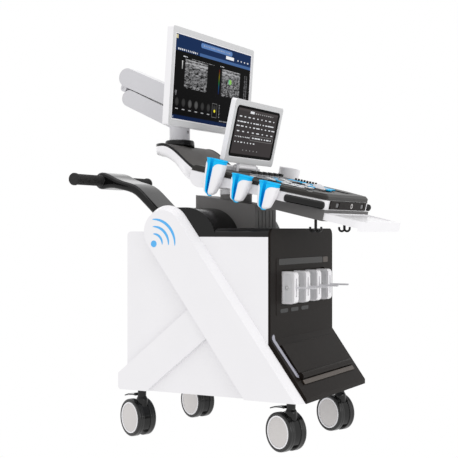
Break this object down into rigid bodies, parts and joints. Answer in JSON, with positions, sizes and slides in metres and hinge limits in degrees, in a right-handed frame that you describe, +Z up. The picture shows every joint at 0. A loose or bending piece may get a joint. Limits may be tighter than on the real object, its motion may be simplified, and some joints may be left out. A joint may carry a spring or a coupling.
{
  "type": "ultrasound scanner",
  "caption": "Trolley ultrasound scanner with lifting console, pull-out tray, touch panel, probe holders and a monitor on a folding arm, on swivel casters.",
  "frame": {"origin": "on the floor, under the middle of the machine's overall box", "axes": "+X to the operator's right, -Y towards the operator, +Z up"},
  "size_m": [0.58, 1.058, 1.3526],
  "materials": {
    "white_shell": "smooth moulded, semi-gloss",
    "black_shell": "smooth moulded, satin to gloss",
    "dark_grey_paint": "satin powder coat",
    "light_grey_shell": "smooth moulded, satin",
    "blue_plastic": "smooth moulded, semi-gloss",
    "grip_rubber": "ribbed, matte",
    "caster_black": "polished moulded nylon",
    "caster_tread": "smooth polyurethane tread",
    "sheet_steel": "zinc-plated and painted sheet",
    "display_glass": "glossy cover over the display",
    "filter_mesh": "open foam in a moulded frame"
  },
  "bodies": {
    "cart": {"chassis": "sheet_steel", "left_side_panel": "white_shell", "right_side_panel": "white_shell", "left_diagonal_band": "white_shell", "right_diagonal_band": "white_shell", "rear_bands": "white_shell", "front_fascia": "black_shell", "top_cover": "black_shell", "rear_panel": "black_shell", "probe_ports": "white_shell", "air_filter": "filter_mesh", "handle_frame": "black_shell", "handle_grips": "grip_rubber", "lift_sleeve": "sheet_steel", "power_supply": "sheet_steel", "card_cage": "sheet_steel", "mains_inlet": "black_shell"},
    "door": {"filter_door": "black_shell"},
    "lever_1": {"port_lever_1": "light_grey_shell"},
    "lever_2": {"port_lever_2": "light_grey_shell"},
    "lever_3": {"port_lever_3": "light_grey_shell"},
    "lever_4": {"port_lever_4": "light_grey_shell"},
    "front_left_swivel": {"front_left_caster": "caster_black"},
    "front_left_wheelset": {"front_left_wheels": "caster_tread"},
    "front_right_swivel": {"front_right_caster": "caster_black"},
    "front_right_wheelset": {"front_right_wheels": "caster_tread"},
    "rear_left_swivel": {"rear_left_caster": "caster_black"},
    "rear_left_wheelset": {"rear_left_wheels": "caster_tread"},
    "rear_right_swivel": {"rear_right_caster": "caster_black"},
    "rear_right_wheelset": {"rear_right_wheels": "caster_tread"},
    "front_left_pedal": {"front_left_brake": "caster_black"},
    "rear_left_pedal": {"rear_left_brake": "caster_black"},
    "lift": {"lift_head": "dark_grey_paint", "lift_mast": "sheet_steel"},
    "console": {"console_tub": "white_shell", "console_deck": "black_shell", "connector_panel": "black_shell", "side_grips": "black_shell", "probe_holders": "white_shell", "holder_liners": "blue_plastic", "gel_cup": "white_shell", "cable_hooks": "black_shell", "tray_housing": "dark_grey_paint", "neck_shell": "white_shell", "neck_cover": "black_shell", "touch_stand": "light_grey_shell"},
    "keys": {"deck_keys": "light_grey_shell"},
    "ball": {"trackball": "light_grey_shell"},
    "sliders": {"tgc_sliders": "black_shell"},
    "dial_1": {"knob_1": "black_shell"},
    "dial_2": {"knob_2": "black_shell"},
    "dial_3": {"knob_3": "black_shell"},
    "tray": {"keyboard_tray": "white_shell"},
    "touch": {"touch_housing": "white_shell", "touch_glass": "display_glass"},
    "arm_lower": {"lower_arm": "light_grey_shell"},
    "arm_upper": {"upper_arm": "light_grey_shell"},
    "yoke": {"monitor_yoke": "light_grey_shell"},
    "monitor": {"monitor_housing": "white_shell", "monitor_screen": "display_glass"}
  },
  "joints": [
    {"name": "door_hinge", "type": "hinge", "parent": "cart", "child": "door", "pos_m": [0, -0.26475, 0.3292], "axis": [-1, 0, 0], "range_deg": [0, 70]},
    {"name": "lever_1_turn", "type": "hinge", "parent": "cart", "child": "lever_1", "pos_m": [-0.1365, -0.262, 0.5085], "axis": [1, 0, 0], "range_deg": [-25, 25]},
    {"name": "lever_2_turn", "type": "hinge", "parent": "cart", "child": "lever_2", "pos_m": [-0.0455, -0.262, 0.5085], "axis": [1, 0, 0], "range_deg": [-25, 25]},
    {"name": "lever_3_turn", "type": "hinge", "parent": "cart", "child": "lever_3", "pos_m": [0.0455, -0.262, 0.5085], "axis": [1, 0, 0], "range_deg": [-25, 25]},
    {"name": "lever_4_turn", "type": "hinge", "parent": "cart", "child": "lever_4", "pos_m": [0.1365, -0.262, 0.5085], "axis": [1, 0, 0], "range_deg": [-25, 25]},
    {"name": "front_left_swivel_turn", "type": "hinge", "parent": "cart", "child": "front_left_swivel", "pos_m": [-0.201, -0.299, 0.16], "axis": [0, 0, 1], "continuous": true},
    {"name": "front_left_wheels_roll", "type": "hinge", "parent": "front_left_swivel", "child": "front_left_wheelset", "pos_m": [-0.19043, -0.27634, 0.0625], "axis": [0.9063, -0.4226, 0], "continuous": true},
    {"name": "front_right_swivel_turn", "type": "hinge", "parent": "cart", "child": "front_right_swivel", "pos_m": [0.201, -0.299, 0.16], "axis": [0, 0, 1], "continuous": true},
    {"name": "front_right_wheels_roll", "type": "hinge", "parent": "front_right_swivel", "child": "front_right_wheelset", "pos_m": [0.21157, -0.27634, 0.0625], "axis": [0.9063, -0.4226, 0], "continuous": true},
    {"name": "rear_left_swivel_turn", "type": "hinge", "parent": "cart", "child": "rear_left_swivel", "pos_m": [-0.201, 0.251, 0.16], "axis": [0, 0, 1], "continuous": true},
    {"name": "rear_left_wheels_roll", "type": "hinge", "parent": "rear_left_swivel", "child": "rear_left_wheelset", "pos_m": [-0.19043, 0.27366, 0.0625], "axis": [0.9063, -0.4226, 0], "continuous": true},
    {"name": "rear_right_swivel_turn", "type": "hinge", "parent": "cart", "child": "rear_right_swivel", "pos_m": [0.201, 0.251, 0.16], "axis": [0, 0, 1], "continuous": true},
    {"name": "rear_right_wheels_roll", "type": "hinge", "parent": "rear_right_swivel", "child": "rear_right_wheelset", "pos_m": [0.21157, 0.27366, 0.0625], "axis": [0.9063, -0.4226, 0], "continuous": true},
    {"name": "front_left_brake_press", "type": "hinge", "parent": "front_left_swivel", "child": "front_left_pedal", "pos_m": [-0.19255, -0.28087, 0.14], "axis": [0.9063, -0.4226, 0], "range_deg": [-10, 0]},
    {"name": "rear_left_brake_press", "type": "hinge", "parent": "rear_left_swivel", "child": "rear_left_pedal", "pos_m": [-0.19255, 0.26913, 0.14], "axis": [0.9063, -0.4226, 0], "range_deg": [-10, 0]},
    {"name": "console_lift", "type": "slide", "parent": "cart", "child": "lift", "axis": [0, 0, 1], "range_m": [0, 0.15]},
    {"name": "console_swivel", "type": "hinge", "parent": "lift", "child": "console", "pos_m": [0, 0, 0.812], "axis": [0, 0, 1], "range_deg": [-20, 20]},
    {"name": "keys_press", "type": "slide", "parent": "console", "child": "keys", "axis": [0, 0.225, -0.9744], "range_m": [0, 0.0015], "stiffness_N_per_m": 2000, "springref_m": -0.002},
    {"name": "trackball_roll", "type": "hinge", "parent": "console", "child": "ball", "pos_m": [0, -0.30226, 0.81789], "axis": [1, 0, 0], "continuous": true},
    {"name": "gain_sliders", "type": "slide", "parent": "console", "child": "sliders", "axis": [1, 0, 0], "range_m": [-0.008, 0.008]},
    {"name": "knob_1_turn", "type": "hinge", "parent": "console", "child": "dial_1", "pos_m": [-0.11, -0.12208, 0.86873], "axis": [0, -0.225, 0.9744], "continuous": true},
    {"name": "knob_2_turn", "type": "hinge", "parent": "console", "child": "dial_2", "pos_m": [-0.07, -0.12208, 0.86873], "axis": [0, -0.225, 0.9744], "continuous": true},
    {"name": "knob_3_turn", "type": "hinge", "parent": "console", "child": "dial_3", "pos_m": [-0.03, -0.12208, 0.86873], "axis": [0, -0.225, 0.9744], "continuous": true},
    {"name": "tray_slide", "type": "slide", "parent": "console", "child": "tray", "axis": [0, 0.9744, 0.225], "range_m": [0, 0.112]},
    {"name": "touch_tilt", "type": "hinge", "parent": "console", "child": "touch", "pos_m": [0, -0.03656, 0.90284], "axis": [-1, 0, 0], "range_deg": [0, 25]},
    {"name": "arm_swivel", "type": "hinge", "parent": "console", "child": "arm_lower", "pos_m": [0, 0.224, 1.005], "axis": [0, 0, 1], "range_deg": [-30, 30]},
    {"name": "arm_raise", "type": "hinge", "parent": "arm_lower", "child": "arm_upper", "pos_m": [0, 0.44, 1.199], "axis": [-1, 0, 0], "range_deg": [0, 40]},
    {"name": "monitor_level", "type": "hinge", "parent": "arm_upper", "child": "yoke", "pos_m": [0, 0.185, 1.13], "axis": [-1, 0, 0], "range_deg": [-40, 0]},
    {"name": "monitor_tilt", "type": "hinge", "parent": "yoke", "child": "monitor", "pos_m": [0, 0.134, 1.118], "axis": [1, 0, 0], "range_deg": [-12, 12]}
  ],
  "couplings": [
    {"joint": "monitor_level", "follows": "arm_raise", "ratio": -1}
  ]
}
